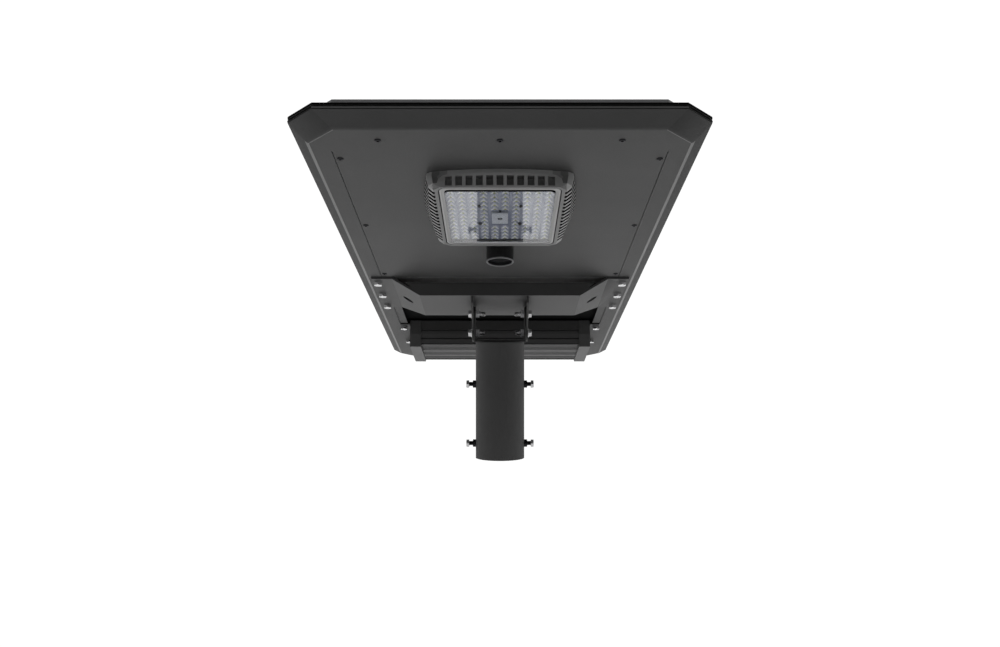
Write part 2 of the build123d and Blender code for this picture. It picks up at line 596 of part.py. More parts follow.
with BuildPart() as module_screws:
    with BuildSketch(HEAD.offset(MODULE_Z + 5.0)) as screw_heads:
        with Locations(*MODULE_SCREWS):
            Circle(2.6)
    extrude(amount=3.0)
save(module_screws, "module_screws")

# ---------------------------------------------------------------- motion sensor
with BuildPart() as sensor_body:
    with BuildSketch(HEAD.offset(SENSOR_Z)) as barrel:
        with Locations((0, SENSOR_Y)):
            Circle(SENSOR_R)
    extrude(amount=FLAT_Z - SENSOR_Z)
    with BuildSketch(HEAD.offset(SENSOR_Z)) as recess:
        with Locations((0, SENSOR_Y)):
            Circle(SENSOR_R - 1.8)
    extrude(amount=9.0, mode=Mode.SUBTRACT)
save(sensor_body, "sensor_body")

with BuildPart() as sensor_lens:
    with BuildSketch(HEAD.offset(SENSOR_Z + 5.0)) as disc:
        with Locations((0, SENSOR_Y)):
            Circle(SENSOR_R - 2.0)
    extrude(amount=4.0)
save(sensor_lens, "sensor_lens")

# ---------------------------------------------------------------- battery box
BATTERY_TOP = 61.5
BATTERY_WALL = 2.5
SLANT_Z, SLANT = 32.0, 4.0  # the front and rear walls lean in below this height


def battery_section(front, rear, bottom):
    """Outline of the battery box in the head's y and z, with its lower walls leaning in."""
    Polygon((front + SLANT, bottom), (rear - SLANT, bottom), (rear, SLANT_Z), (rear, BATTERY_TOP),
            (front, BATTERY_TOP), (front, SLANT_Z), align=None)


with BuildPart(HEAD) as battery_case:
    with BuildSketch(head_side(-BATTERY_HALF)) as section:
        battery_section(BATTERY_FRONT, BATTERY_REAR, BATTERY_Z)
        offset(amount=-BATTERY_WALL, mode=Mode.SUBTRACT)
    extrude(amount=2 * BATTERY_HALF)
save(battery_case, "battery_case")

EAR_OUT = 215.0
for name, side in (("battery_cap_left", -1), ("battery_cap_right", 1)):
    start = min(side * BATTERY_HALF, side * CAP_HALF)
    with BuildPart(HEAD) as battery_cap:
        with BuildSketch(head_side(start)) as section:
            battery_section(BATTERY_FRONT - 1.5, CAP_REAR, CAP_Z)
        extrude(amount=CAP_HALF - BATTERY_HALF)
        low_x, high_x = sorted((side * (CAP_HALF - 2), side * EAR_OUT))
        box_between((low_x, BATTERY_FRONT, FLAT_Z + SHEET), (high_x, CAP_REAR - 10, FLAT_Z + SHEET + 3))
        with BuildSketch(HEAD.offset(FLAT_Z)) as holes:
            with Locations(*[(side * BATTERY_BOLT_X, y) for y in BATTERY_BOLT_YS]):
                Circle(BOLT_R + FIT)
        extrude(amount=10, mode=Mode.SUBTRACT)
    save(battery_cap, name)

with BuildPart() as battery_cells:
    with BuildSketch(head_side(0)) as ends:
        with Locations(*[(BATTERY_FRONT + 34 + 37 * i, 28.0) for i in range(3)]):
            Circle(16.0)
    for start in (-146, -35, 76):
        extrude(ends.sketch.moved(Location(HEAD.x_dir * start)), amount=70)
save(battery_cells, "battery_cells")

with BuildPart(HEAD) as bms_board:
    box_between((-60, 290, 48.2), (60, 374, 50.0))
save(bms_board, "bms_board")

head_bolts("battery_bolts", BATTERY_BOLT_X, BATTERY_BOLT_YS, FLAT_Z, SHEET + 3 + 8.0)
head_nuts("battery_nuts", BATTERY_BOLT_X, BATTERY_BOLT_YS, FLAT_Z + SHEET + 3)
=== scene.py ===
import json
from math import cos, exp, pi, radians, sin

import bmesh
import bpy
from mathutils import Matrix, Vector

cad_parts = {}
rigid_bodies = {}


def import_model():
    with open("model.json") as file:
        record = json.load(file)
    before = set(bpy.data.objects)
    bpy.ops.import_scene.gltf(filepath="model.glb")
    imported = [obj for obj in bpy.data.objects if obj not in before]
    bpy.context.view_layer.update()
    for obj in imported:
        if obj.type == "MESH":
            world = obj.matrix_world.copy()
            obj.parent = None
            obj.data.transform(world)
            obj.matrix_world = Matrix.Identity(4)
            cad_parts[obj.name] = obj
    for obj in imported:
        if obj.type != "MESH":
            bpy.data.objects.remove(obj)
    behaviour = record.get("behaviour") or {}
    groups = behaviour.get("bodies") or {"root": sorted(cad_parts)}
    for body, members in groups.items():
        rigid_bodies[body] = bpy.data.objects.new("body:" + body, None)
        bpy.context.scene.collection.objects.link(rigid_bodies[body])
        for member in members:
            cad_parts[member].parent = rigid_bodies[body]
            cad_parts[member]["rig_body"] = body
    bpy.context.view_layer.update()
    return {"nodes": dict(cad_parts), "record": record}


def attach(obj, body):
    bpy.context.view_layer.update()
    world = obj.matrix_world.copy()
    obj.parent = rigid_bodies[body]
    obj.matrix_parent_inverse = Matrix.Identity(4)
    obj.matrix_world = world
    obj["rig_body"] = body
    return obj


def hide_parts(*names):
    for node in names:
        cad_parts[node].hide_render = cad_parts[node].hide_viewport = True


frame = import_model()

# ---------------------------------------------------------------- the head's own frame
# Head pieces are described level, in millimetres, with x across, y to the rear and z up to the
# panel; HEAD turns that into the shared frame in metres. SLEEVE does the same for upright pieces.
MM = 0.001
TILT = radians(15)
HEAD_ORIGIN = Vector((0.0, 0.0, 0.262))
HEAD = Matrix.Translation(HEAD_ORIGIN) @ Matrix.Rotation(-TILT, 4, "X") @ Matrix.Scale(MM, 4)
SLEEVE = Matrix.Scale(MM, 4)

# copies of CAD meshes join vertices closer than MERGE metres and edges that turn less than FLAT_TURN
MERGE = 2e-6
FLAT_TURN = radians(1.0)


def local_box(node, space=HEAD):
    """Lowest and highest corner of a CAD node in a local frame, in millimetres."""
    back = space.inverted()
    points = [back @ v.co for v in frame["nodes"][node].data.vertices]
    return (Vector([min(p[i] for p in points) for i in range(3)]),
            Vector([max(p[i] for p in points) for i in range(3)]))


# ---------------------------------------------------------------- materials
def new_material(name):
    """Empty node material with a Principled shader, returned with its tree and shader."""
    material = bpy.data.materials.new(name)
    material.use_nodes = True
    tree = material.node_tree
    return material, tree, tree.nodes["Principled BSDF"]


def object_coords(tree, scale=(1.0, 1.0, 1.0)):
    """Object coordinates in metres, scaled along each axis."""
    coords = tree.nodes.new("ShaderNodeTexCoord")
    mapping = tree.nodes.new("ShaderNodeMapping")
    mapping.inputs["Scale"].default_value = scale
    tree.links.new(coords.outputs["Object"], mapping.inputs["Vector"])
    return mapping.outputs["Vector"]


def noise(tree, scale, detail=3.0, vector=None):
    """Noise value over the object's own coordinates, or over a given vector."""
    node = tree.nodes.new("ShaderNodeTexNoise")
    node.inputs["Scale"].default_value = scale
    node.inputs["Detail"].default_value = detail
    tree.links.new(vector or object_coords(tree), node.inputs["Vector"])
    return node.outputs["Fac"]


def ramp(tree, value, stops):
    """Colour ramp over a value: stops are (position, colour or grey)."""
    node = tree.nodes.new("ShaderNodeValToRGB")
    elements = node.color_ramp.elements
    while len(elements) < len(stops):
        elements.new(0.5)
    for element, (position, colour) in zip(elements, stops):
        element.position = position
        grey = (colour,) * 3 if isinstance(colour, (int, float)) else colour
        element.color = (*grey, 1.0)
    tree.links.new(value, node.inputs["Fac"])
    return node.outputs["Color"]


def remap(tree, value, low, high):
    """Value stretched so that low gives 0 and high gives 1."""
    node = tree.nodes.new("ShaderNodeMapRange")
    node.inputs["From Min"].default_value = low
    node.inputs["From Max"].default_value = high
    tree.links.new(value, node.inputs["Value"])
    return node.outputs["Result"]


def bump(tree, shader, height, strength, distance):
    """Bump on a shader's normal; distance in metres."""
    node = tree.nodes.new("ShaderNodeBump")
    node.inputs["Strength"].default_value = strength
    node.inputs["Distance"].default_value = distance
    tree.links.new(height, node.inputs["Height"])
    tree.links.new(node.outputs["Normal"], shader.inputs["Normal"])


def powder_coat(name, grey, roughness=0.5, texture=1.0, specular=0.4):
    """Baked powder paint: fine orange-peel bump and a faint cloudy change of tone."""
    material, tree, shader = new_material(name)
    clouds = noise(tree, 9.0, 4.0)
    tree.links.new(ramp(tree, clouds, [(0.3, grey * 0.93), (0.7, grey * 1.07)]),
                   shader.inputs["Base Color"])
    speckle = noise(tree, 1400.0, 2.0)
    tree.links.new(ramp(tree, speckle, [(0.3, roughness - 0.05), (0.7, roughness + 0.06)]),
                   shader.inputs["Roughness"])
    bump(tree, shader, speckle, 0.10 * texture, 0.0004)
    shader.inputs["Specular IOR Level"].default_value = specular
    return material


def metal(name, colour, roughness, streak=(1.0, 1.0, 1.0), grain=900.0, darkest=0.85, metallic=1.0):
    """Bare or plated metal with fine grain in colour, roughness and bump."""
    material, tree, shader = new_material(name)
    grain_value = noise(tree, grain, 3.0, object_coords(tree, streak))
    low = tuple(c * darkest for c in colour)
    tree.links.new(ramp(tree, grain_value, [(0.3, low), (0.7, colour)]), shader.inputs["Base Color"])
    tree.links.new(ramp(tree, grain_value, [(0.3, roughness * 0.8), (0.7, roughness * 1.25)]),
                   shader.inputs["Roughness"])
    shader.inputs["Metallic"].default_value = metallic
    bump(tree, shader, grain_value, 0.05, 0.0003)
    return material


def plastic(name, colour, roughness, grain=1200.0, strength=0.06, specular=0.5):
    """Moulded plastic or rubber with a fine spark-eroded grain."""
    material, tree, shader = new_material(name)
    grain_value = noise(tree, grain, 2.0)
    low = tuple(c * 0.85 for c in colour)
    tree.links.new(ramp(tree, grain_value, [(0.3, low), (0.7, colour)]), shader.inputs["Base Color"])
    tree.links.new(ramp(tree, grain_value, [(0.3, roughness * 0.9), (0.7, min(1, roughness * 1.1))]),
                   shader.inputs["Roughness"])
    bump(tree, shader, grain_value, strength, 0.0003)
    shader.inputs["Specular IOR Level"].default_value = specular
    return material


def clear(name, colour, roughness, ior=1.5):
    """Clear glass with a faint haze in its roughness."""
    material, tree, shader = new_material(name)
    haze = noise(tree, 4.0, 2.0)
    tree.links.new(ramp(tree, haze, [(0.3, roughness), (0.7, roughness + 0.006)]),
                   shader.inputs["Roughness"])
    shader.inputs["Base Color"].default_value = (*colour, 1.0)
    shader.inputs["Transmission Weight"].default_value = 1.0
    shader.inputs["IOR"].default_value = ior
    return material


def optic(name, face):
    """Moulded optic over a white board, with painted shade, bluish, in the valleys and painted
    highlights, white, on the raised ridges.

    face is the head's local height of the plate face that the optics stand on.
    """
    material, tree, shader = new_material(name)
    upright = HEAD.to_3x3() @ Vector((0, 0, 1)) / MM
    depth = tree.nodes.new("ShaderNodeVectorMath")
    depth.operation = "DOT_PRODUCT"
    depth.inputs[1].default_value = upright
    tree.links.new(object_coords(tree), depth.inputs[0])
    start = HEAD_ORIGIN.dot(upright)
    height = remap(tree, depth.outputs["Value"], start + (face + 0.2) * MM, start + (face - 2.6) * MM)
    # painted shade in the valleys, painted highlight on the ridges
    tree.links.new(ramp(tree, height, [(0.0, (0.26, 0.29, 0.40)), (0.35, (0.42, 0.46, 0.56)),
                                       (0.7, (1.0, 1.0, 1.0))]), shader.inputs["Base Color"])
    haze = noise(tree, 300.0, 3.0)
    tree.links.new(ramp(tree, haze, [(0.3, 0.14), (0.7, 0.22)]), shader.inputs["Roughness"])
    shader.inputs["Transmission Weight"].default_value = 0.12
    shader.inputs["IOR"].default_value = 1.49
    return material


def solar_cell_material():
    """Dark blue silicon with a slight change of blue across it and a fine grain."""
    material, tree, shader = new_material("cell_silicon")
    clouds = noise(tree, 14.0, 5.0)
    tree.links.new(ramp(tree, clouds, [(0.3, (0.006, 0.010, 0.030)), (0.7, (0.012, 0.020, 0.060))]),
                   shader.inputs["Base Color"])
    speckle = noise(tree, 600.0, 2.0)
    tree.links.new(ramp(tree, speckle, [(0.3, 0.22), (0.7, 0.34)]), shader.inputs["Roughness"])
    bump(tree, shader, speckle, 0.04, 0.0002)
    return material


# thickness of the lens plate that carries the optics, in millimetres
LENS_SKIN = 1.6

GREY = powder_coat("grey_powder_coat", 0.063, specular=0.3)
HOUSING = powder_coat("housing_powder_coat", 0.050, specular=0.3)
# near-black: the dark_paint slot's own paint, and painted shade on the sleeve's lower rim, the panel
# tray's front, the rim's front corners and the battery seams
DARK = powder_coat("black_paint_and_painted_shade", 0.006, 0.85, specular=0.05)
CAST = powder_coat("cast_powder_coat", 0.135, 0.40, 1.8)
TUBE = powder_coat("tube_powder_coat", 0.084, 0.6, specular=0.25)
BULKHEAD_LIT = powder_coat("bulkhead_painted_light", 0.34, 0.6)
EDGE = powder_coat("case_painted_highlight", 0.125, 0.35)
BEZEL = powder_coat("bezel_coat", 0.32, 0.35)
CASE = powder_coat("case_coat", 0.056, 0.45, specular=0.3)
CASE_UNDER_SHADE = powder_coat("case_underside_painted_shade", 0.008, 0.45, specular=0.3)
CAP = powder_coat("cap_coat", 0.070, 0.42)
ZINC = metal("bright_zinc", (0.98, 0.98, 0.99), 0.07)
ZINC_NUT = metal("zinc_nut", (0.80, 0.80, 0.82), 0.4, metallic=0.3)
CREASE_HIGHLIGHT = powder_coat("crease_painted_highlight", 0.19, 0.4)
CORNER_SHADE = powder_coat("corner_painted_shade", 0.044, specular=0.25)
LIP = powder_coat("lip_painted_light", 0.19, specular=0.3)
WING_LIGHT = powder_coat("wing_painted_light", 0.078)
CAST_FACE_LIT = powder_coat("cast_face_painted_light", 0.30, 0.42, 1.8)
CAST_SLOT_SHADE = powder_coat("cast_slot_painted_shade", 0.008, 0.85, specular=0.02)
CAST_RECESS_LIT = powder_coat("cast_recess_painted_light", 0.20, 0.6)
BLACK_STEEL = metal("black_oxide", (0.035, 0.035, 0.038), 0.40)
ALU = metal("raw_aluminium", (0.62, 0.62, 0.64), 0.35)
FRAME_ALU = metal("frame_anodised", (0.42, 0.42, 0.43), 0.42, streak=(1.0, 0.05, 1.0), grain=1500.0,
                  metallic=0.1)
BLACK = plastic("black_plastic", (0.012, 0.012, 0.013), 0.42)
SMOKED = plastic("smoked_lens", (0.003, 0.003, 0.004), 0.45, strength=0.01, specular=0.12)
SENSOR_RING = metal("sensor_rim_metal", (0.34, 0.34, 0.35), 0.35)
RUBBER = plastic("black_rubber", (0.006, 0.006, 0.006), 0.75)
WHITE = plastic("white_plastic", (0.80, 0.83, 0.88), 0.35)
BOARD = plastic("white_board", (0.55, 0.58, 0.66), 0.40)
PHOSPHOR = plastic("led_phosphor", (0.33, 0.38, 0.03), 0.45)
GREEN = plastic("green_board", (0.01, 0.10, 0.03), 0.40)
CELL_CAN = plastic("cell_sleeve", (0.03, 0.12, 0.30), 0.35)
SILVER = metal("silver_busbar", (0.70, 0.71, 0.73), 0.30)
SHEET_WHITE = plastic("white_backsheet", (0.70, 0.71, 0.72), 0.6)
PANEL_GLASS = clear("panel_glass", (0.96, 0.98, 1.0), 0.02)
LAMP_GLASS = clear("lamp_glass", (0.97, 0.98, 1.0), 0.01)
LENS = optic("lens_plastic", local_box("lens_plate")[1].z - LENS_SKIN)
CELL = solar_cell_material()

BY_SLOT = {
    "grey_paint": GREY, "grey_sheet": HOUSING, "dark_paint": DARK, "black_oxide": BLACK_STEEL,
    "bright_steel": ZINC, "black_rubber": RUBBER, "anodised_frame": FRAME_ALU,
    "white_sheet": SHEET_WHITE, "solar_cell": CELL, "panel_glass": PANEL_GLASS, "black_plastic": BLACK,
    "bare_aluminium": ALU, "cast_grey": CAST, "lamp_glass": LAMP_GLASS, "lens_plastic": LENS,
    "white_board": BOARD, "led_phosphor": PHOSPHOR, "white_plastic": WHITE, "smoked_lens": SMOKED,
    "case_extrusion": CASE, "cap_paint": CAP, "cell_can": CELL_CAN, "green_board": GREEN,
}
NODE_SLOT = {s["node"]: s["material_slot"] for s in frame["record"]["subparts"]}


# ---------------------------------------------------------------- mesh helpers
def add_object(name, mesh, body, material):
    """Link a finished mesh as a piece of a body, with its material."""
    piece = bpy.data.objects.new(name, mesh)
    bpy.context.scene.collection.objects.link(piece)
    piece.data.materials.clear()
    piece.data.materials.append(material)
    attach(piece, body)
    return piece


def smooth(mesh, angle=30):
    """Smooth shading that breaks at edges sharper than the angle."""
    for polygon in mesh.polygons:
        polygon.use_smooth = True
    mesh.set_sharp_from_angle(angle=radians(angle))


def bevel(piece, width, segments, angle=30):
    """Rounded edges on every corner sharper than the angle; width in millimetres."""
    modifier = piece.modifiers.new("edges", "BEVEL")
    modifier.width = width * MM
    modifier.segments = segments
    modifier.limit_method = "ANGLE"
    modifier.angle_limit = radians(angle)
    modifier.harden_normals = False
    modifier.use_clamp_overlap = True
    return piece


def rounded_copy(node, width, segments, material):
    """Stand-in for a CAD node with the same shape and softly rounded edges.

    Without a material of its own it wears the one of the node's slot.
    """
    source = frame["nodes"][node]
    bm = bmesh.new()
    bm.from_mesh(source.data)
    bmesh.ops.remove_doubles(bm, verts=bm.verts, dist=MERGE)
    bmesh.ops.dissolve_limit(bm, angle_limit=FLAT_TURN, verts=bm.verts, edges=bm.edges)
    mesh = bpy.data.meshes.new("skin_" + node)
    bm.to_mesh(mesh)
    bm.free()
    smooth(mesh)
    body = source["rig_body"]
    slot = NODE_SLOT[node]
    piece = add_object("skin_" + node, mesh, body, material or BY_SLOT[slot])
    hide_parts(node)
    return bevel(piece, width, segments)


def paint_faces(piece, material, chosen, space=HEAD):
    """Give another finish to the faces whose local centre and normal pass a test."""
    back = space.inverted()
    piece.data.materials.append(material)
    for polygon in piece.data.polygons:
        if chosen(back @ polygon.center, (back.to_3x3() @ polygon.normal).normalized()):
            polygon.material_index = len(piece.data.materials) - 1


def islands(node, space=HEAD):
    """Lowest and highest corner of every separate solid of a CAD node, in a local frame."""
    bm = bmesh.new()
    bm.from_mesh(frame["nodes"][node].data)
    bmesh.ops.remove_doubles(bm, verts=bm.verts, dist=MERGE)
    bmesh.ops.transform(bm, matrix=space.inverted(), verts=bm.verts)
    found, seen = [], set()
    for seed in bm.verts:
        if seed in seen:
            continue
        group, queue = [], [seed]
        seen.add(seed)
        while queue:
            vertex = queue.pop()
            group.append(vertex.co.copy())
            for edge in vertex.link_edges:
                other = edge.other_vert(vertex)
                if other not in seen:
                    seen.add(other)
                    queue.append(other)
        found.append((Vector([min(p[i] for p in group) for i in range(3)]),
                      Vector([max(p[i] for p in group) for i in range(3)])))
    bm.free()
    return found


def finish_mesh(bm, name, space=HEAD, angle=30):
    """Turn a piece described in local millimetres into a mesh in metres, and free its source."""
    bmesh.ops.transform(bm, matrix=space, verts=bm.verts)
    bmesh.ops.recalc_face_normals(bm, faces=bm.faces)
    mesh = bpy.data.meshes.new(name)
    bm.to_mesh(mesh)
    bm.free()
    smooth(mesh, angle)
    return mesh


def stand_in(name, bm, nodes, material=None, space=HEAD, angle=30):
    """Piece shown instead of one or more CAD nodes, on their body and wearing their slot's material
    unless given another.
    """
    slot = NODE_SLOT[nodes[0]]
    piece = add_object(name, finish_mesh(bm, name, space, angle), frame["nodes"][nodes[0]]["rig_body"],
                       material or BY_SLOT[slot])
    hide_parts(*nodes)
    return piece


def extra(name, bm, beside, material, angle=30):
    """Piece of the head added to the body of a CAD node."""
    mesh = finish_mesh(bm, name, HEAD, angle)
    return add_object(name, mesh, frame["nodes"][beside]["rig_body"], material)


def ring(bm, points, place=None):
    """New vertices at the points, moved by a place if one is given."""
    points = [Vector(p) for p in points]
    return [bm.verts.new(place @ p if place else p) for p in points]


def bridge(bm, first, second):
    """Band of quads between two rings of the same length."""
    count = len(first)
    for i in range(count):
        j = (i + 1) % count
        bm.faces.new((first[i], first[j], second[j], second[i]))


def skin_rings(bm, rings, close_ends=True):
    """Quad skin through a list of rings, with flat end faces unless they are left open."""
    for first, second in zip(rings, rings[1:]):
        bridge(bm, first, second)
    if close_ends:
        bm.faces.new(rings[0])
        bm.faces.new(rings[-1])


def circle(radius, z, count=24):
    """Points round a circle at height z."""
    turns = [2 * pi * k / count for k in range(count)]
    return [(radius * cos(turn), radius * sin(turn), z) for turn in turns]


def hexagon(across, z, drop=0.0, count=24):
    """Points round a hexagon; drop lowers the corners, as a turned chamfer does."""
    points = []
    for k in range(count):
        turn = 2 * pi * k / count
        reach = across / 2 / cos((turn + pi / 6) % (pi / 3) - pi / 6)
        points.append((reach * cos(turn), reach * sin(turn), z - drop * max(0.0, reach - 0.48 * across)))
    return points


def lathe(bm, profile, place, count):
    """Turned solid from a profile of (radius, z)."""
    skin_rings(bm, [ring(bm, circle(r, z, count), place) for r, z in profile])


def threaded(bm, radius, start, end, place, pitch=1.25):
    """Shank with thread ridges from start to end along z and a chamfered tip at the end."""
    step = pitch if end > start else -pitch
    rings = [circle(radius, start)]
    z = start
    while abs(end - z) > pitch * 1.6:
        rings += [circle(radius - 0.4, z + step * 0.5), circle(radius - 0.02, z + step)]
        z += step
    rings += [circle(radius, end - step * 0.8), circle(radius - 0.9, end)]
    skin_rings(bm, [ring(bm, points, place) for points in rings])


# heights of the bolt heads and lock nuts, in millimetres
SIDE_HEAD = 5.3
BEAM_HEAD = 6.9
LOCK_NUT = 5.8


def bolt(bm, place, shank, head=SIDE_HEAD, across=13.0, radius=4.0):
    """Hexagon bolt: the chamfered head stands on z 0 and the threaded shank hangs below."""
    rings = [circle(across * 0.47, 0), hexagon(across, 0.25), hexagon(across, head, 0.55),
             circle(across * 0.455, head), circle(across * 0.36, head),
             circle(across * 0.34, head - 0.35)]
    skin_rings(bm, [ring(bm, points, place) for points in rings])
    threaded(bm, radius, 0, -shank, place)


def nut(bm, place, height=6.5, across=13.0, bore=4.0):
    """Hexagon nut standing on z 0, chamfered on both faces."""
    rings = [circle(bore, 0.5), circle(bore + 0.5, 0), circle(across * 0.455, 0),
             hexagon(across, 0, -0.55), hexagon(across, height, 0.55), circle(across * 0.455, height),
             circle(bore + 0.5, height), circle(bore, height - 0.5)]
    rings = [ring(bm, points, place) for points in rings]
    skin_rings(bm, rings, close_ends=False)
    bridge(bm, rings[-1], rings[0])


def along_x(x, y, z, side):
    """Place whose z axis points outward to one side."""
    return Matrix.Translation((x, y, z)) @ Matrix.Rotation(side * pi / 2, 4, "Y")


def side_place(low, high, depth=None):
    """Place with z outward: at a solid's inner end, or a depth in from its outer end."""
    side = 1 if high.x > 0 else -1
    inner, outer = sorted((abs(low.x), abs(high.x)))
    return along_x(side * (inner if depth is None else outer - depth), 0, (low.z + high.z) / 2, side)


def facing_down(x, y, z):
    """Place whose z axis points down."""
    return Matrix.Translation((x, y, z)) @ Matrix.Rotation(pi, 4, "X")


def down_from(low, high, z):
    """Place on a solid's centre line at height z, with its own z axis down."""
    return facing_down((low.x + high.x) / 2, (low.y + high.y) / 2, z)


def rounded_rectangle(half, front, rear, radius, z, steps=8):
    """Points of a rounded rectangle on the head's centre line."""
    points = []
    for cx, cy, turn in ((half - radius, rear - radius, 0), (radius - half, rear - radius, 1),
                         (radius - half, front + radius, 2), (half - radius, front + radius, 3)):
        for k in range(steps + 1):
            angle = (turn + k / steps) * pi / 2
            points.append((cx + radius * cos(angle), cy + radius * sin(angle), z))
    return points


def frame_sweep(bm, half, front, rear, radius, profile):
    """Closed profile of (inset, z) swept round a rounded rectangle."""
    rings = [ring(bm, rounded_rectangle(half - i, front + i, rear - i, max(radius - 0.3 * i, 0.5), z))
             for i, z in profile]
    for first, second in zip(rings, rings[1:] + rings[:1]):
        bridge(bm, first, second)


# ---------------------------------------------------------------- CAD nodes, plain or rounded
for name, node in frame["nodes"].items():
    node.data.materials.clear()
    node.data.materials.append(BY_SLOT[NODE_SLOT[name]])
    smooth(node.data)

# the bay bulkhead's light grey is painted light, standing in for light that falls behind the cover's edge
OWN_COAT = {"sleeve_tube": TUBE, "bay_bulkhead": BULKHEAD_LIT}
skins = {}
for name, width, segments in (
        ("yoke_bracket", 0.8, 3), ("tilt_plate_left", 0.5, 2), ("tilt_plate_right", 0.5, 2),
        ("cross_beam", 1.4, 4), ("battery_cap_left", 1.2, 3), ("battery_cap_right", 1.2, 3),
        ("led_heatsink", 0.6, 3), ("sleeve_tube", 1.5, 3), ("cover_frame", 0.3, 2),
        ("bay_bulkhead", 0.3, 2), ("panel_tray", 0.5, 2), ("rim_gasket", 0.4, 2), ("solar_frame", 0.8, 3),
        ("junction_box", 1.5, 3), ("charge_controller", 1.5, 3), ("optic_clip", 0.6, 3)):
    skins[name] = rounded_copy(name, width, segments, OWN_COAT.get(name))

# painted shade: the sleeve's lower rim and end face are painted nearly black
SLEEVE_MOUTH = 1.7
paint_faces(skins["sleeve_tube"], DARK, lambda c, n: c.z < SLEEVE_MOUTH, SLEEVE)
# painted shade on the panel tray's front faces
paint_faces(skins["panel_tray"], DARK, lambda c, n: n.y < -0.3)
# painted light on the cross beam's sloping wings
paint_faces(skins["cross_beam"], WING_LIGHT, lambda c, n: abs(n.x) > 0.3 and n.z < -0.3)

# distances on the LED module's cast body, in the head's own frame
CAST_FRONT, CAST_TOP = local_box("led_heatsink")[0].y, local_box("led_heatsink")[1].z
FACE_DEPTH, FACE_X = 6, 88
SLOT_WALL, SLOT_EDGE, SLOTS_FRONT, SLOTS_REAR = 86.5, 86.4, -510, -305
RECESS_HALF, RECESS_DEPTH = 80, 14


def on_cast_face(c, n):
    """The front wall and the outer faces of the side fins."""
    return c.y < CAST_FRONT + FACE_DEPTH and n.y < -0.4 or abs(c.x) > FACE_X and abs(n.x) > 0.4


def in_cast_slot(c, n):
    """Side walls, inner wall or roof of a slot between two side fins."""
    return (abs(c.x) > SLOT_EDGE and abs(n.y) > 0.95 and SLOTS_FRONT < c.y < SLOTS_REAR
            or abs(abs(c.x) - SLOT_WALL) < 0.3 and abs(n.x) > 0.95
            or abs(c.x) > SLOT_EDGE and CAST_TOP - 1.6 < c.z < CAST_TOP - 0.4 and n.z < -0.95)


def in_cast_recess(c, n):
    """The recessed wall behind the front one."""
    return (abs(c.x) < RECESS_HALF and CAST_FRONT + FACE_DEPTH < c.y < CAST_FRONT + RECESS_DEPTH
            and n.y < -0.9)


# painted light on the front wall and the fins' outer faces, painted shade in the slots between the fins,
# fainter painted light on the recessed wall
paint_faces(skins["led_heatsink"], CAST_FACE_LIT, on_cast_face)
paint_faces(skins["led_heatsink"], CAST_SLOT_SHADE, in_cast_slot)
paint_faces(skins["led_heatsink"], CAST_RECESS_LIT, in_cast_recess)

# ---------------------------------------------------------------- sheet housing
COVER_LOW, COVER_HIGH = local_box("cover_plate")
REAR_LOW, REAR_HIGH = local_box("housing_rear")

FLAT_Z, RIM_Z, RIM_TOP = 51.4, 67.8, 70.8
FLAT = (237.0, -641.5, 564.5, 37.0, 37.0)
RIM = (local_box("side_rail_right")[1].x, local_box("housing_front")[0].y, REAR_HIGH.y, 36.0, 27.5)
BEND_END, SLOPE_END, SHEET = 0.13, 0.95, 2.0
COVER_CUT, SEAM_Y, BAY_HALF, NOTCH_HALF = 18, -583.0, 211.2, 192.0


def octagon(half, front, rear, leg, rear_leg):
    """Corners of a rectangle on the head's centre line with its four corners cut off."""
    return [Vector(p) for p in (
        (-half, front + leg), (-half + leg, front), (half - leg, front), (half, front + leg),
        (half, rear - rear_leg), (half - rear_leg, rear), (rear_leg - half, rear),
        (-half, rear - rear_leg))]


def inset_octagon(size, inset):
    """The octagon of a size (half width, front, rear, front cut, rear cut), moved in on all sides."""
    half, front, rear, leg, rear_leg = size
    cut = inset * (2 - 2 ** 0.5)
    return octagon(half - inset, front + inset, rear - inset, leg - cut, rear_leg - cut)


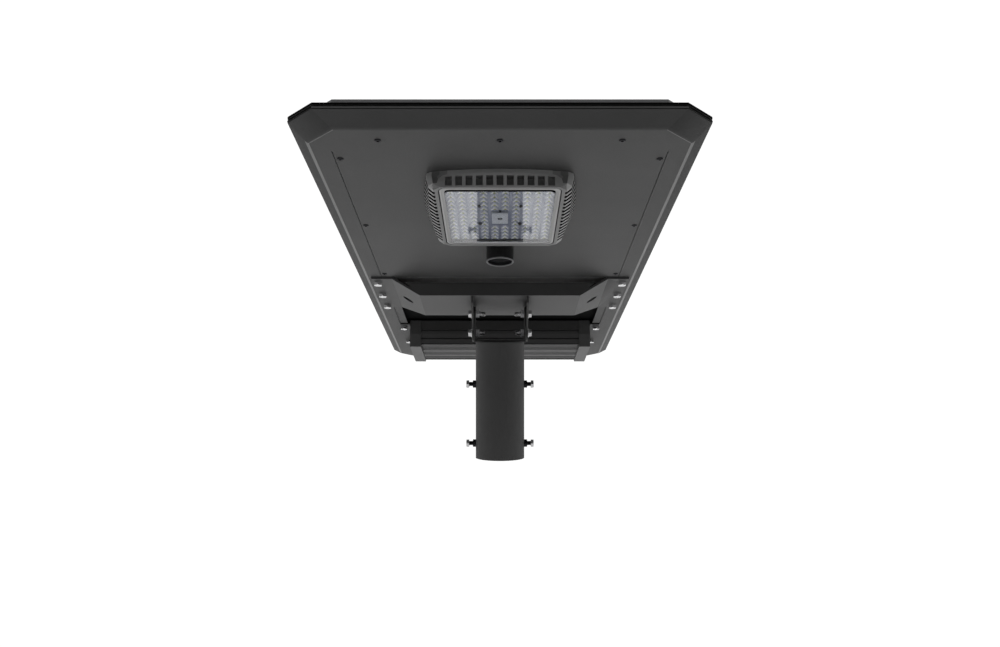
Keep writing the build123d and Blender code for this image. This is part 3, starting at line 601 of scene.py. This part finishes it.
def housing_shell():
    """The whole folded housing as one skin: flat, rolled bend, slope, rim lip, flange and inside."""
    bm = bmesh.new()

    def level(points, z):
        return ring(bm, [(p.x, p.y, z) for p in points])

    flat_edge, rim_edge = inset_octagon(FLAT, 0), inset_octagon(RIM, 0)
    bend_in = inset_octagon(FLAT, 2.6)
    bend_out = [a.lerp(b, BEND_END) for a, b in zip(flat_edge, rim_edge)]
    bend_z = FLAT_Z + BEND_END * (RIM_Z - FLAT_Z)
    rings = []
    for k in range(9):
        t = k / 8
        points = [(1 - t) ** 2 * a + 2 * t * (1 - t) * b + t * t * c
                  for a, b, c in zip(bend_in, flat_edge, bend_out)]
        rings.append(level(points, FLAT_Z + t * t * (bend_z - FLAT_Z)))
    slope_end = [a.lerp(b, SLOPE_END) for a, b in zip(flat_edge, rim_edge)]
    rings.append(level(slope_end, FLAT_Z + SLOPE_END * (RIM_Z - FLAT_Z)))
    for inset, z in ((0.4, RIM_Z - 0.4), (1.9, RIM_Z - 0.3), (1.9, RIM_Z + 0.7), (0.3, RIM_Z + 0.7),
                     (0.0, RIM_Z + 1.0), (0.0, RIM_TOP - 0.4),
                     (0.4, RIM_TOP), (16.0, RIM_TOP), (16.0, RIM_Z)):
        rings.append(level(inset_octagon(RIM, inset), z))
    rings.append(level(inset_octagon(RIM, 4.0), RIM_Z))
    rings.append(level(inset_octagon(FLAT, 1.5), FLAT_Z + SHEET))
    for first, second in zip(rings, rings[1:]):
        bridge(bm, first, second)
    half, front = COVER_HIGH.x, COVER_LOW.y
    bay_rear, notch_rear = REAR_LOW.y, local_box("battery_cap_right")[1].y + 1.0
    opening = [(COVER_CUT - half, front), (half - COVER_CUT, front), (half, front + COVER_CUT),
               (half, SEAM_Y), (BAY_HALF, SEAM_Y), (BAY_HALF, bay_rear), (NOTCH_HALF, bay_rear),
               (NOTCH_HALF, notch_rear), (-NOTCH_HALF, notch_rear), (-NOTCH_HALF, bay_rear),
               (-BAY_HALF, bay_rear), (-BAY_HALF, SEAM_Y), (-half, SEAM_Y), (-half, front + COVER_CUT)]
    hems = [ring(bm, [(x, y, z) for x, y in opening]) for z in (FLAT_Z, FLAT_Z + SHEET)]
    bridge(bm, *hems)
    for outer, hem in ((rings[0], hems[0]), (rings[-1], hems[1])):
        edges = []
        for loop in (outer, hem):
            for i in range(len(loop)):
                pair = (loop[i], loop[(i + 1) % len(loop)])
                edges.append(bm.edges.get(pair) or bm.edges.new(pair))
        bmesh.ops.triangle_fill(bm, use_beauty=True, use_dissolve=False, edges=edges)
    return stand_in("housing_shell", bm,
                    ["side_rail_left", "side_rail_right", "housing_front", "housing_rear"], angle=28)


shell = housing_shell()
# painted highlight on the bends along the sides, painted light on the front lip, painted shade on the rim
# at the front corners and on their slopes
paint_faces(shell, CREASE_HIGHLIGHT, lambda c, n: 0.08 < abs(n.x) and abs(n.y) < 0.1 and n.z < -0.5
            and c.z < FLAT_Z + 2.2)
paint_faces(shell, LIP, lambda c, n: c.z > RIM_Z + 0.7 and n.y < -0.9)
paint_faces(shell, DARK, lambda c, n: c.z > RIM_Z and n.y < -0.3 and abs(n.x) > 0.2)
paint_faces(shell, CORNER_SHADE, lambda c, n: abs(n.x) > 0.2 and n.y < -0.2 and n.z < -0.2 and c.y < 0)

# ---------------------------------------------------------------- bolts, nuts and screws
for node, length in (("beam_bolts", 14.0), ("battery_bolts", 13.0)):
    bm = bmesh.new()
    for low, high in islands(node):
        bolt(bm, down_from(low, high, low.z + BEAM_HEAD), length, head=BEAM_HEAD)
    stand_in(node.replace("bolts", "hex_bolts"), bm, [node])

for node in ("beam_nuts", "battery_nuts"):
    bm = bmesh.new()
    for low, high in islands(node):
        nut(bm, Matrix.Translation(((low.x + high.x) / 2, (low.y + high.y) / 2, low.z)))
    stand_in(node.replace("nuts", "hex_nuts"), bm, [node])

for node in ("pivot_bolts", "lock_bolts"):
    bm = bmesh.new()
    for low, high in islands(node, SLEEVE):
        bolt(bm, side_place(low, high, SIDE_HEAD), high.x - low.x - SIDE_HEAD)
    stand_in(node.replace("bolts", "hex_bolts"), bm, [node], space=SLEEVE)

bm = bmesh.new()
for low, high in islands("yoke_nuts", SLEEVE):
    nut(bm, side_place(low, high))
stand_in("yoke_hex_nuts", bm, ["yoke_nuts"], material=ZINC_NUT, space=SLEEVE)

bm = bmesh.new()
for low, high in islands("yoke_washers", SLEEVE):
    place = side_place(low, high)
    rings = [ring(bm, circle(r, z), place)
             for r, z in ((4.05, 0), (7.7, 0), (8.0, 0.3), (8.0, 1.3), (7.7, 1.6), (4.05, 1.6))]
    skin_rings(bm, rings, close_ends=False)
    bridge(bm, rings[-1], rings[0])
stand_in("yoke_flat_washers", bm, ["yoke_washers"], space=SLEEVE)

bm = bmesh.new()
for low, high in islands("clamp_nuts", SLEEVE):
    nut(bm, side_place(low, high, LOCK_NUT), height=LOCK_NUT)
stand_in("clamp_lock_nuts", bm, ["clamp_nuts"], space=SLEEVE)

for number in (1, 2, 3, 4):
    node = f"clamp_screw_{number}"
    low, high = local_box(node, SLEEVE)
    shank_end = max(high.x, -low.x) - SIDE_HEAD - 0.1
    bm = bmesh.new()
    bolt(bm, side_place(low, high, SIDE_HEAD), high.x - low.x - SIDE_HEAD)
    screw = stand_in(f"clamp_screw_threaded_{number}", bm, [node], space=SLEEVE)
    paint_faces(screw, BLACK_STEEL, lambda c, n: abs(c.x) < shank_end, SLEEVE)

bm = bmesh.new()
for low, high in islands("cover_screws"):
    place = down_from(low, high, high.z)
    rings = [circle(4.2, 0), circle(4.2, 0.5), circle(3.7, 1.15), circle(2.6, 1.55), hexagon(3.2, 1.6),
             hexagon(3.0, 0.5)]
    skin_rings(bm, [ring(bm, points, place) for points in rings])
stand_in("cover_pan_screws", bm, ["cover_screws"])

bm = bmesh.new()
for low, high in islands("module_screws"):
    place = down_from(low, high, high.z)
    rings = [circle(2.6, 0), circle(2.6, 1.9), circle(2.2, 2.7), circle(1.6, 3.0), hexagon(2.2, 3.0),
             hexagon(2.0, 1.6)]
    skin_rings(bm, [ring(bm, points, place) for points in rings])
stand_in("module_pan_screws", bm, ["module_screws"])

# ---------------------------------------------------------------- battery box
CASE_LOW, CASE_HIGH = local_box("battery_case")
FRONT_SEAM_TOP, REAR_SEAM_TOP = 17, 20


def battery_profile():
    """Outline of the extrusion in y and z: front wall, stepped and grooved underside, rear wall."""
    front, rear, base, top = CASE_LOW.y, CASE_HIGH.y, CASE_LOW.z, CASE_HIGH.z
    front_wall = [(0.0, top), (0.0, 41.5), (1.2, 41.0), (1.2, 39.6), (0.0, 39.0), (0.0, 32.6),
                  (0.4, 31.2), (1.6, 24.0), (3.6, 23.3), (3.6, 22.0), (2.0, 21.4), (4.0, 11.8),
                  (4.4, 15.5), (8.4, 15.5)]
    underside = [(8.8, 4.6), (37.5, 4.4), (37.6, 4.9), (42.4, 4.9), (42.6, 4.2), (57.0, 4.0),
                 (63.0, 1.3), (91.0, 1.3), (96.0, 0.2), (124.5, 0.0), (125.0, 4.8), (131.0, 4.8),
                 (131.5, 0.0)]
    rear_edge = [(8.0, 0.0), (7.7, 0.5), (5.0, 0.5), (3.6, 1.1)]
    rear_wall = [(0.8, 30.0), (0.0, 32.0), (0.0, top)]
    return ([(front + y, z) for y, z in front_wall] + [(front + y, base + z) for y, z in underside]
            + [(rear - y, base + z) for y, z in rear_edge] + [(rear - y, z) for y, z in rear_wall])


bm = bmesh.new()
sides = [ring(bm, [(x, y, z) for y, z in battery_profile()]) for x in (CASE_LOW.x, CASE_HIGH.x)]
bridge(bm, *sides)
for side in sides:
    bm.faces.new(side)
case = stand_in("battery_extrusion", bm, ["battery_case"], angle=20)
bevel(case, 0.25, 2, 25)
# painted shade: the faces of the extrusion that look down get a much darker copy of its coat
paint_faces(case, CASE_UNDER_SHADE, lambda c, n: n.z < -0.6)


def in_case_seam_shade(c, n):
    """The seams near the front and the rear edge of the underside, where painted shade goes."""
    return (4.1 < c.y - CASE_LOW.y < 8.7 and c.z < FRONT_SEAM_TOP
            or c.y > CASE_HIGH.y - 7.9 and c.z < REAR_SEAM_TOP)


paint_faces(case, DARK, in_case_seam_shade)

# painted highlights: thin light strips along the two sloping steps of the underside
bm = bmesh.new()
for y0, z0, y1, z1 in ((57.1, 3.9, 62.9, 1.25), (91.1, 1.2, 95.9, 0.15)):
    strip = [(CASE_LOW.y + y, CASE_LOW.z + z)
             for y, z in ((y0, z0), (y1, z1), (y1, z1 + 0.3), (y0, z0 + 0.3))]
    skin_rings(bm, [ring(bm, [(x, y, z) for y, z in strip])
                    for x in (CASE_LOW.x + 0.4, CASE_HIGH.x - 0.4)])
extra("battery_painted_highlight_lines", bm, "battery_case", EDGE)

# ---------------------------------------------------------------- LED module
BEZEL_LOW, BEZEL_HIGH = local_box("led_bezel")
GASKET_LOW, GASKET_HIGH = local_box("module_gasket")
LENS_LOW, LENS_HIGH = local_box("lens_plate")
CLIP_LOW, CLIP_HIGH = local_box("optic_clip")

bm = bmesh.new()
base = BEZEL_LOW.z
frame_sweep(bm, BEZEL_HIGH.x, BEZEL_LOW.y, BEZEL_HIGH.y, 10.5,
            [(0.0, base + 2.2), (0.0, base + 0.5), (0.5, base), (2.6, base), (3.0, base + 0.4),
             (3.0, base + 0.9), (3.4, base + 1.1), (6.0, base + 1.1), (6.4, base + 1.3),
             (6.4, base + 2.2)])
stand_in("bezel_stepped", bm, ["led_bezel"], BEZEL)

bm = bmesh.new()
width = GASKET_HIGH.x - BEZEL_HIGH.x
frame_sweep(bm, GASKET_HIGH.x, GASKET_LOW.y, GASKET_HIGH.y, 12,
            [(width * (0.5 - 0.5 * cos(pi * k / 8)), base + 2.0 - 1.7 * sin(pi * k / 8))
             for k in range(9)])
stand_in("module_gasket_bead", bm, ["module_gasket"])

COLUMNS, ROWS, PITCH_X, PITCH_Y = 10, 13, 14.9, 14.4
ARM_X, ARM_DROP, APEX_Y = 6.4, 14.0, -5.6
CLIP_Y = (CLIP_LOW.y + CLIP_HIGH.y) / 2
CLIP_ROOM_X, CLIP_ROOM_Y = 16, 26


def at_clip(x, y):
    """Whether an optic here would stand in the centre clip's way."""
    return abs(x) < CLIP_ROOM_X and abs(y - CLIP_Y) < CLIP_ROOM_Y


def lens_height(x, y):
    """Height of one double-lobed optic: a chevron ridge, nested into the next one's, round a low dome."""
    along = min(abs(x) / ARM_X, 1.0)
    past = y - APEX_Y - ARM_DROP * along
    nearest = (past + PITCH_Y / 2) % PITCH_Y - PITCH_Y / 2
    arm = 2.7 * exp(-(nearest / 2.3) ** 2) * (1 - along ** 4)
    dome = 1.9 * max(0.0, 1 - (x / 4.2) ** 2 - ((y - 1.2) / 3.6) ** 2) ** 0.5
    return max(arm, dome)


def lens_array():
    """Lens plate with one raised optic under every LED clear of the clip, all facing the glass."""
    bm = bmesh.new()
    face = LENS_HIGH.z - LENS_SKIN
    middle = (LENS_LOW.y + LENS_HIGH.y) / 2
    across, deep = 16, 16
    for column in range(COLUMNS):
        for row in range(ROWS):
            cx = PITCH_X * (column - (COLUMNS - 1) / 2)
            cy = middle + 0.25 + PITCH_Y * (row - (ROWS - 1) / 2)
            if at_clip(cx, cy):
                continue
            grid = []
            for j in range(deep + 1):
                y = (j / deep - 0.5) * PITCH_Y
                for_row = []
                for i in range(across + 1):
                    x = (i / across - 0.5) * PITCH_X * 0.98
                    rim = i in (0, across) or (row, j) in ((0, 0), (ROWS - 1, deep))
                    z = face + (0.4 if rim else -lens_height(x, y))
                    for_row.append(bm.verts.new((cx + x, cy + y, z)))
                grid.append(for_row)
            for j in range(deep):
                for i in range(across):
                    bm.faces.new((grid[j][i], grid[j][i + 1], grid[j + 1][i + 1], grid[j + 1][i]))
    rings = [ring(bm, rounded_rectangle(LENS_HIGH.x - i, LENS_LOW.y + i, LENS_HIGH.y - i, 8 - i, z))
             for i, z in ((0.4, face), (0.0, face + 0.4), (0.0, LENS_HIGH.z - 0.4), (0.4, LENS_HIGH.z))]
    skin_rings(bm, rings)
    stand_in("lens_array", bm, ["lens_plate"], angle=60)


lens_array()

bm = bmesh.new()
for low, high in islands("led_chips"):
    place = down_from(low, high, high.z)
    rings = [[(sx * w, sy * w, z) for sx, sy in ((-1, -1), (1, -1), (1, 1), (-1, 1))]
             for w, z in ((1.75, 0), (1.75, 0.6), (1.55, 0.85), (1.3, 0.85), (1.2, 0.7))]
    skin_rings(bm, [ring(bm, points, place) for points in rings])
stand_in("led_emitters", bm, ["led_chips"])

bm = bmesh.new()
for low, high in islands("led_chips"):
    x, y = (low.x + high.x) / 2, (low.y + high.y) / 2
    if not at_clip(x, y):
        lathe(bm, [(1.7, 0), (1.6, 0.25), (1.0, 0.5)], facing_down(x, y + 0.8, LENS_HIGH.z - 3.4), 10)
extra("phosphor_spots", bm, "lens_plate", PHOSPHOR)

bm = bmesh.new()
place = facing_down(0, CLIP_Y, CLIP_LOW.z + 0.3)
rings = [circle(3.4, 0), circle(3.4, 0.8), circle(2.9, 1.1), hexagon(3.2, 1.1), hexagon(3.0, 0.2)]
skin_rings(bm, [ring(bm, points, place) for points in rings])
for end in (CLIP_LOW.y - 2.6, CLIP_HIGH.y + 2.6):
    skin_rings(bm, [ring(bm, circle(r, z), facing_down(0, end, CLIP_LOW.z + 3.0))
                    for r, z in ((1.7, 0), (1.7, 1.6), (1.2, 2.0))])
extra("clip_screws", bm, "optic_clip", BLACK_STEEL)

# ---------------------------------------------------------------- motion sensor
SENSOR_LOW, SENSOR_HIGH = local_box("sensor_body")
sensor_y = (SENSOR_LOW.y + SENSOR_HIGH.y) / 2
sensor_r = SENSOR_HIGH.x
depth = SENSOR_HIGH.z - SENSOR_LOW.z
SENSOR_SIDES = 64

bm = bmesh.new()
place = facing_down(0, sensor_y, SENSOR_HIGH.z)
lathe(bm, [(sensor_r - 0.2, 0), (sensor_r, 0.4), (sensor_r, depth - 2.6),
           (sensor_r - 0.5, depth - 2.2), (sensor_r - 2.2, depth - 2.0),
           (sensor_r - 2.6, depth - 9.0)], place, SENSOR_SIDES)
stand_in("sensor_barrel", bm, ["sensor_body"])

bm = bmesh.new()
rings = [ring(bm, circle(sensor_r - r, depth - z, SENSOR_SIDES), place)
         for r, z in ((0.4, 2.2), (0.0, 1.8), (0.0, 0.5), (0.5, 0.0), (1.5, 0.0), (2.1, 0.6), (2.1, 2.2))]
skin_rings(bm, rings, close_ends=False)
extra("sensor_rim", bm, "sensor_body", SENSOR_RING)

bm = bmesh.new()
drop = SENSOR_HIGH.z - local_box("sensor_lens")[0].z
lathe(bm, [(sensor_r - 2.7, drop - 3.5), (sensor_r - 2.7, drop - 0.6), (sensor_r - 4.0, drop),
           (sensor_r * 0.5, drop + 0.7), (1.0, drop + 1.0)], place, SENSOR_SIDES)
stand_in("sensor_window", bm, ["sensor_lens"])

# ---------------------------------------------------------------- solar panel
PANEL = (245.0, -649.5, 574.5, 44.0, 36.0)
BUSBARS, BUSBAR_INSET = 5, 17.0


def reach_in_panel(x, inset):
    """How far forward and back a strip at x can run inside the panel's cut corners."""
    half, front, rear, leg, rear_leg = PANEL
    spare = half - inset - abs(x)
    return front + inset + max(0.0, leg - spare), rear - inset - max(0.0, rear_leg - spare)


def solar_cells():
    """Wafers with cut corners, and the silver busbars printed on them."""
    bm = bmesh.new()
    bm.from_mesh(frame["nodes"]["solar_cells"].data)
    bmesh.ops.remove_doubles(bm, verts=bm.verts, dist=MERGE)
    bmesh.ops.dissolve_limit(bm, angle_limit=FLAT_TURN, verts=bm.verts, edges=bm.edges)
    bmesh.ops.transform(bm, matrix=HEAD.inverted(), verts=bm.verts)
    upright = [e for e in bm.edges if abs(e.verts[0].co.z - e.verts[1].co.z) > 0.1]
    bmesh.ops.bevel(bm, geom=upright, offset=5.0, segments=1, affect="EDGES", clamp_overlap=True)
    stand_in("solar_wafers", bm, ["solar_cells"])
    bm = bmesh.new()
    for low, high in islands("solar_cells"):
        front, rear = low.y + 1.0, high.y - 1.0
        for k in range(BUSBARS):
            x = low.x + (k + 0.5) / BUSBARS * (high.x - low.x)
            nearest, farthest = reach_in_panel(x, BUSBAR_INSET)
            y0, y1 = max(front, nearest), min(rear, farthest)
            rings = [ring(bm, [(x - 0.8, y, high.z), (x + 0.8, y, high.z), (x + 0.6, y, high.z + 0.15),
                               (x - 0.6, y, high.z + 0.15)]) for y in (y0, y1)]
            skin_rings(bm, rings)
    extra("cell_busbars", bm, "solar_cells", SILVER)


solar_cells()

# ---------------------------------------------------------------- weld beads
PLATE_LOW, PLATE_HIGH = local_box("tilt_plate_right")
BEAM_Z = local_box("cross_beam")[0].z
WELD_FRONT, WELD_REAR = -58, 50


def bead(bm, start, end, radius=1.8, ripple=2.2):
    """Rippled fillet weld along a straight line."""
    start, end = Vector(start), Vector(end)
    count = max(4, int((end - start).length / ripple * 3))
    rings = []
    for k in range(count + 1):
        centre = start.lerp(end, k / count)
        r = radius * (1.0 + 0.12 * cos(2 * pi * k / 3)) * (0.6 if k in (0, count) else 1.0)
        rings.append(ring(bm, [(centre.x + r * cos(a * pi / 5), centre.y, centre.z + r * sin(a * pi / 5))
                               for a in range(10)]))
    skin_rings(bm, rings)


# the yoke's arms lie against one face of each tilt plate, so the welds run along the other
yoke_x = local_box("yoke_bracket", SLEEVE)[1].x
weld_x = PLATE_HIGH.x if yoke_x < PLATE_HIGH.x else PLATE_LOW.x
bm = bmesh.new()
for side in (-1, 1):
    bead(bm, (side * weld_x, WELD_FRONT, BEAM_Z), (side * weld_x, WELD_REAR, BEAM_Z))
extra("plate_weld_beads", bm, "cross_beam", GREY, angle=60)

# ---------------------------------------------------------------- stage, light and camera
FLOOR_Z = -1.2
FLOOR_HALF = 30.0
EYE_WHITE = 1.05
WORLD_STOPS = [(0.0, 0.17), (0.5, 0.17), (0.75, 0.75)]
CAMERA_DISTANCE = 1.717
CAMERA_HEIGHT = 0.2466
FOCAL_PIXELS = 933.0
IMAGE_WIDTH = 1000.0
FILM_WIDTH = 36.0


def white_to_the_eye(tree, lit, surface):
    """Show plain white to the camera and let everything else see the lit shader."""
    white = tree.nodes.new("ShaderNodeEmission")
    white.inputs["Strength"].default_value = EYE_WHITE
    path = tree.nodes.new("ShaderNodeLightPath")
    mix = tree.nodes.new("ShaderNodeMixShader")
    tree.links.new(path.outputs["Is Camera Ray"], mix.inputs["Fac"])
    tree.links.new(lit, mix.inputs[1])
    tree.links.new(white.outputs["Emission"], mix.inputs[2])
    tree.links.new(mix.outputs["Shader"], surface)


def studio_world():
    """Even white to the eye; as light it is dim in front of the lamp and bright behind it."""
    world = bpy.data.worlds.new("studio")
    bpy.context.scene.world = world
    world.use_nodes = True
    tree = world.node_tree
    coords = tree.nodes.new("ShaderNodeTexCoord")
    split = tree.nodes.new("ShaderNodeSeparateXYZ")
    tree.links.new(coords.outputs["Generated"], split.inputs["Vector"])
    front = ramp(tree, remap(tree, split.outputs["Y"], -1.0, 1.0), WORLD_STOPS)
    light = tree.nodes["Background"]
    tree.links.new(front, light.inputs["Color"])
    light.inputs["Strength"].default_value = 1.0
    white_to_the_eye(tree, light.outputs["Background"], tree.nodes["World Output"].inputs["Surface"])


def area_light(name, place, target, size, power):
    """Rectangular light aimed at a target, hidden from the camera and from mirror reflections."""
    data = bpy.data.lights.new(name, "AREA")
    data.shape = "RECTANGLE"
    data.size, data.size_y = size
    data.energy = power
    light = bpy.data.objects.new(name, data)
    bpy.context.scene.collection.objects.link(light)
    light.location = place
    direction = Vector(target) - Vector(place)
    light.rotation_euler = direction.to_track_quat("-Z", "Y").to_euler()
    light.visible_camera = False
    light.visible_glossy = False


def floor():
    """Wide pale floor, white to the camera."""
    mesh = bpy.data.meshes.new("floor")
    corners = ((-1, -1), (1, -1), (1, 1), (-1, 1))
    mesh.from_pydata([(x * FLOOR_HALF, y * FLOOR_HALF, FLOOR_Z) for x, y in corners], [], [(0, 1, 2, 3)])
    plane = bpy.data.objects.new("floor", mesh)
    bpy.context.scene.collection.objects.link(plane)
    material, tree, shader = new_material("pale_floor")
    tree.links.new(ramp(tree, noise(tree, 2.0), [(0.3, 0.84), (0.7, 0.88)]), shader.inputs["Base Color"])
    shader.inputs["Roughness"].default_value = 0.9
    white_to_the_eye(tree, shader.outputs["BSDF"], tree.nodes["Material Output"].inputs["Surface"])
    mesh.materials.append(material)


studio_world()
floor()
area_light("top", (0, 2.0, 3.0), (0, 2.2, 0), (3.4, 2.4), 104)
area_light("left", (-2.2, 0.0, -0.35), (0, 0.0, 0.3), (2.6, 0.7), 7)
area_light("right", (2.2, 0.0, -0.35), (0, 0.0, 0.3), (2.6, 0.7), 7)
area_light("below", (0, 0.2, -1.1), (0, 0.2, 0.3), (1.6, 1.2), 7)

camera_data = bpy.data.cameras.new("camera")
camera_data.sensor_width = FILM_WIDTH
camera_data.lens = FILM_WIDTH * FOCAL_PIXELS / IMAGE_WIDTH
camera_data.clip_start = 0.05
camera = bpy.data.objects.new("camera", camera_data)
bpy.context.scene.collection.objects.link(camera)
camera.location = (0.0, -CAMERA_DISTANCE, CAMERA_HEIGHT)
camera.rotation_euler = (pi / 2, 0.0, 0.0)
bpy.context.scene.camera = camera
bpy.context.scene.view_settings.view_transform = "Standard"
